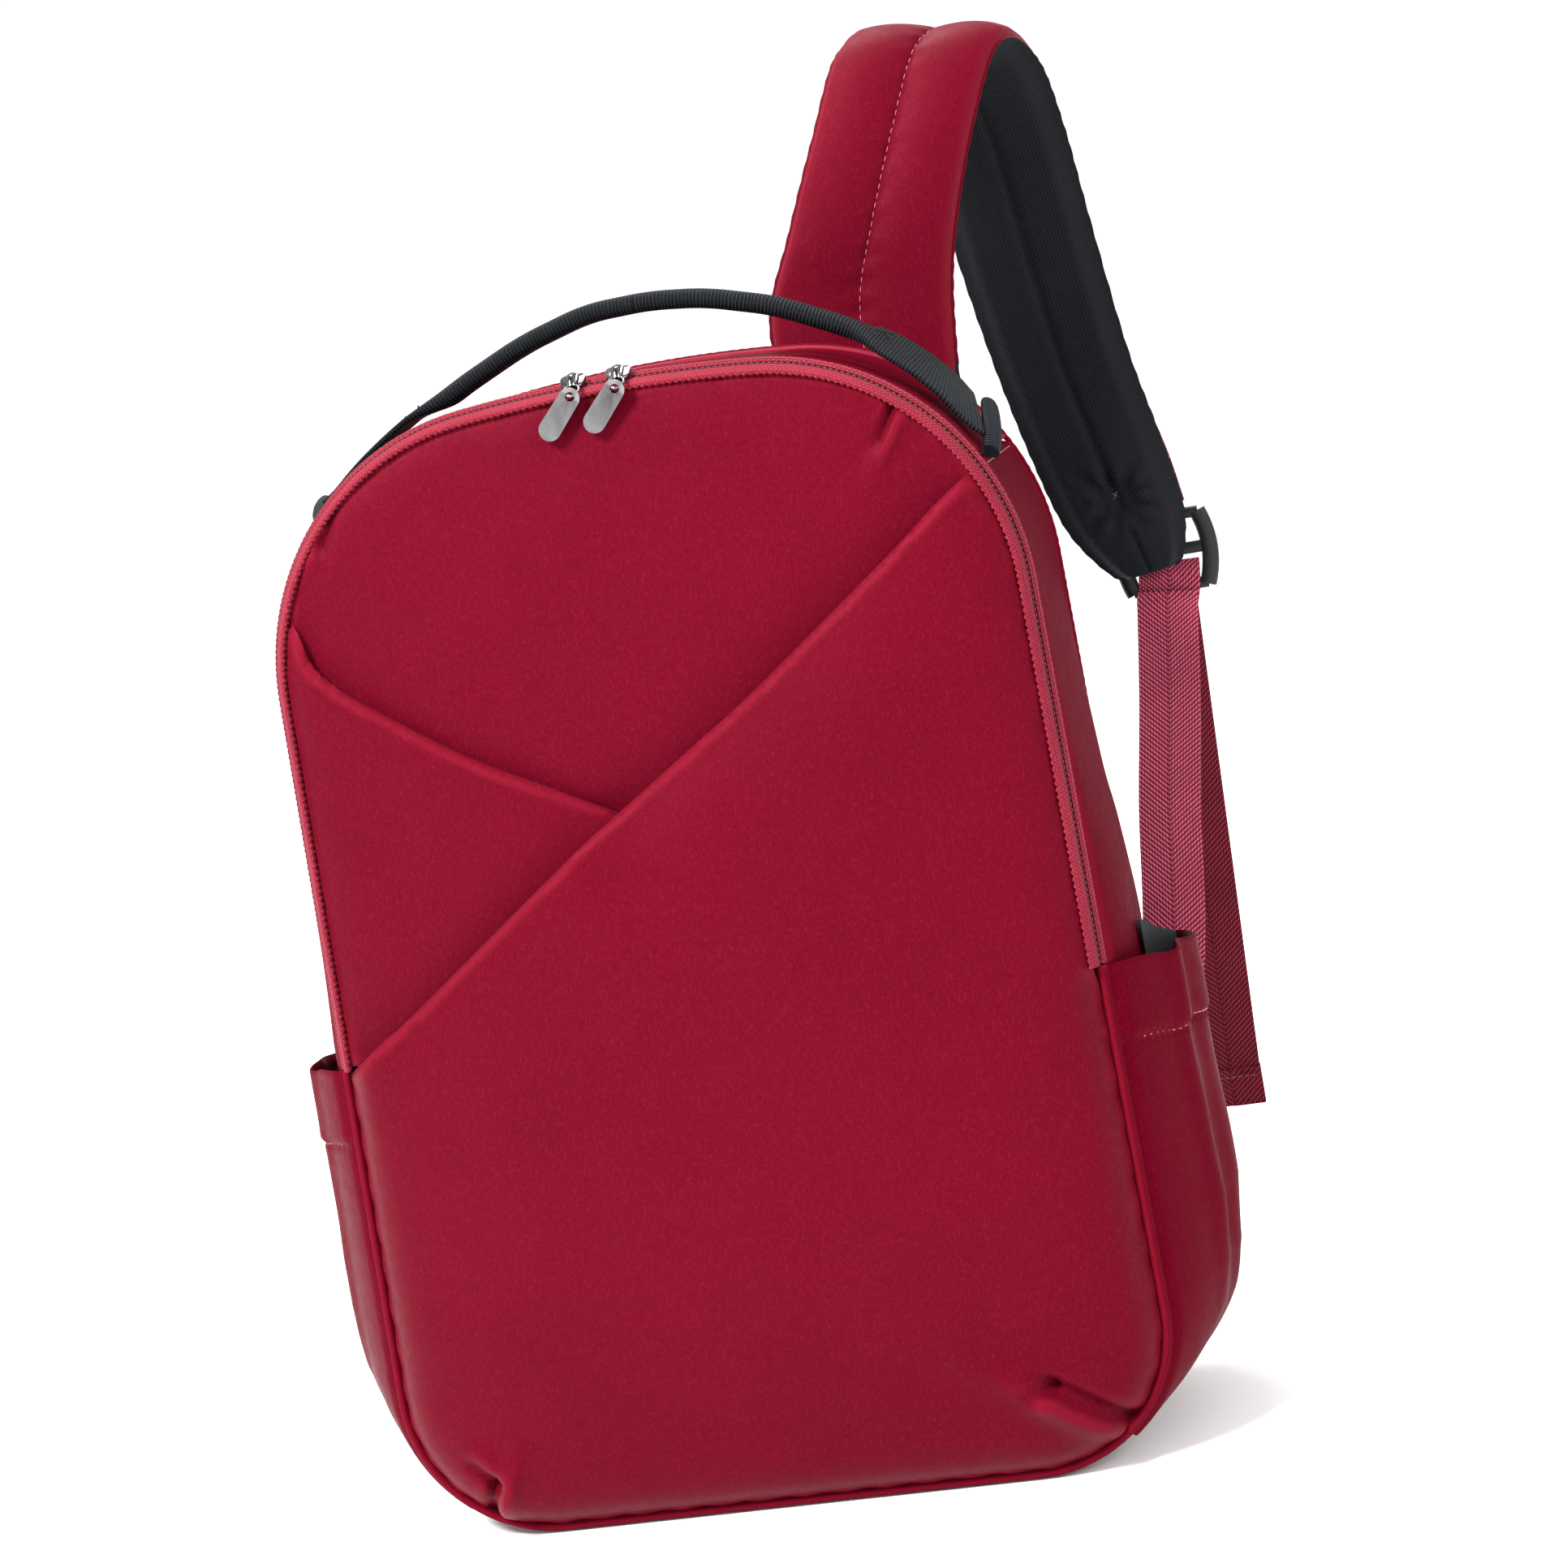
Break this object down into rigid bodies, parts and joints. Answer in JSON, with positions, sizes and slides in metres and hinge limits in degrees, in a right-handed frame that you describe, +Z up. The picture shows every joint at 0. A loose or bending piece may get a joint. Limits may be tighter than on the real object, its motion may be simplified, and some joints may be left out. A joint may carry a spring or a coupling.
{
  "type": "travel backpack",
  "caption": "Soft travel backpack with a zipped fold-down front, crossed slash panels, side pockets, a carry handle and padded shoulder straps.",
  "frame": {"origin": "centre of the flat base, on the surface the bag stands on", "axes": "+Z up along the bag's height, -Y towards the zipped front, +X to the right seen from the front"},
  "size_m": [0.3816, 0.2509, 0.5576],
  "materials": {
    "crimson_fabric": "satin polyester, fine plain weave",
    "rose_tape": "herringbone webbing and zip tape",
    "black_mesh": "matte air mesh and lining",
    "charcoal_webbing": "ribbed webbing",
    "black_plastic": "fine satin texture",
    "polished_metal": "polished, dark chrome"
  },
  "bodies": {
    "pack": {"base_panel": "crimson_fabric", "side_gusset_left": "crimson_fabric", "side_gusset_right": "crimson_fabric", "top_gusset": "crimson_fabric", "back_binding": "crimson_fabric", "front_piping": "crimson_fabric", "front_panel_lower": "crimson_fabric", "side_pocket_left": "crimson_fabric", "side_pocket_right": "crimson_fabric", "pocket_hem_left": "crimson_fabric", "pocket_hem_right": "crimson_fabric", "strap_root_left": "crimson_fabric", "strap_root_right": "crimson_fabric", "main_zip_tape_body": "rose_tape", "rear_zip_tape": "rose_tape", "anchor_tab_left": "rose_tape", "anchor_tab_right": "rose_tape", "back_panel": "black_mesh", "back_pad": "black_mesh", "laptop_divider": "black_mesh", "handle_end_left": "charcoal_webbing", "handle_end_right": "charcoal_webbing", "handle_anchor_left": "charcoal_webbing", "handle_anchor_right": "charcoal_webbing"},
    "front_flap": {"front_panel_upper": "crimson_fabric", "slash_panel_left": "crimson_fabric", "slash_panel_right": "crimson_fabric", "main_zip_tape_flap": "rose_tape"},
    "slider_left": {"main_slider_left": "polished_metal"},
    "slider_right": {"main_slider_right": "polished_metal"},
    "ring_left": {"pull_ring_left": "polished_metal"},
    "ring_right": {"pull_ring_right": "polished_metal"},
    "tab_left": {"pull_tab_left": "polished_metal"},
    "tab_right": {"pull_tab_right": "polished_metal"},
    "rear_slider": {"rear_slider": "polished_metal"},
    "rear_pull": {"rear_pull": "polished_metal"},
    "handle": {"handle_grip": "charcoal_webbing"},
    "strap_right": {"strap_pad_right": "crimson_fabric", "strap_lining_right": "black_mesh", "strap_loop_right": "rose_tape", "adjuster_webbing_right": "rose_tape"},
    "strap_left": {"strap_pad_left": "crimson_fabric", "strap_lining_left": "black_mesh", "strap_loop_left": "rose_tape", "adjuster_webbing_left": "rose_tape"},
    "lock_right": {"ladder_lock_right": "black_plastic"},
    "lock_left": {"ladder_lock_left": "black_plastic"},
    "tail_right": {"webbing_tail_right": "rose_tape", "tail_hem_right": "rose_tape"},
    "tail_left": {"webbing_tail_left": "rose_tape", "tail_hem_left": "rose_tape"}
  },
  "joints": [
    {"name": "front_flap_fold", "type": "hinge", "parent": "pack", "child": "front_flap", "pos_m": [0, -0.0705, 0.1935], "axis": [1, 0, 0], "range_deg": [0, 110]},
    {"name": "main_slider_left_run", "type": "hinge", "parent": "front_flap", "child": "slider_left", "pos_m": [0, -0.05, -0.13], "axis": [0, 1, 0], "range_deg": [-5, 0]},
    {"name": "main_slider_right_run", "type": "hinge", "parent": "front_flap", "child": "slider_right", "pos_m": [0, -0.05, -0.13], "axis": [0, 1, 0], "range_deg": [0, 5.4]},
    {"name": "ring_left_lift", "type": "hinge", "parent": "slider_left", "child": "ring_left", "pos_m": [-0.01046, -0.04672, 0.43788], "axis": [1, 0, 0], "range_deg": [-66, 0]},
    {"name": "ring_right_lift", "type": "hinge", "parent": "slider_right", "child": "ring_right", "pos_m": [0.00698, -0.04672, 0.43793], "axis": [1, 0, 0], "range_deg": [-66, 0]},
    {"name": "tab_left_swing", "type": "hinge", "parent": "ring_left", "child": "tab_left", "pos_m": [-0.01042, -0.05087, 0.43543], "axis": [0, 1, 0], "range_deg": [0, 40]},
    {"name": "tab_right_swing", "type": "hinge", "parent": "ring_right", "child": "tab_right", "pos_m": [0.00695, -0.05087, 0.43549], "axis": [0, 1, 0], "range_deg": [-84, 0]},
    {"name": "rear_slider_run", "type": "hinge", "parent": "pack", "child": "rear_slider", "pos_m": [-0.0484, 0.0523, 0.3378], "axis": [0, 1, 0], "range_deg": [0, 48]},
    {"name": "rear_pull_lift", "type": "hinge", "parent": "rear_slider", "child": "rear_pull", "pos_m": [-0.13508, 0.0553, 0.39166], "axis": [0, 1, 0], "range_deg": [0, 75]},
    {"name": "handle_lean", "type": "hinge", "parent": "pack", "child": "handle", "pos_m": [0.01, 0, 0.4365], "axis": [1, 0, 0], "range_deg": [-45, 45]},
    {"name": "strap_right_swing", "type": "hinge", "parent": "pack", "child": "strap_right", "pos_m": [0.115, 0.07, 0.3], "axis": [0, 0, 1], "range_deg": [-15, 15]},
    {"name": "strap_left_swing", "type": "hinge", "parent": "pack", "child": "strap_left", "pos_m": [-0.095, 0.07, 0.25], "axis": [0, 0, 1], "range_deg": [-10, 10]},
    {"name": "lock_right_tilt", "type": "hinge", "parent": "strap_right", "child": "lock_right", "pos_m": [0.183, 0.174, 0.3358], "axis": [1, 0, 0], "range_deg": [-6, 8]},
    {"name": "lock_left_tilt", "type": "hinge", "parent": "strap_left", "child": "lock_left", "pos_m": [-0.098, 0.1155, 0.1278], "axis": [1, 0, 0], "range_deg": [-8, 8]},
    {"name": "tail_right_swing", "type": "hinge", "parent": "lock_right", "child": "tail_right", "pos_m": [0.18, 0.1778, 0.301], "axis": [1, 0, 0], "range_deg": [-8, 40]},
    {"name": "tail_left_swing", "type": "hinge", "parent": "lock_left", "child": "tail_left", "pos_m": [-0.098, 0.119, 0.0935], "axis": [1, 0, 0], "range_deg": [0, 40]}
  ]
}
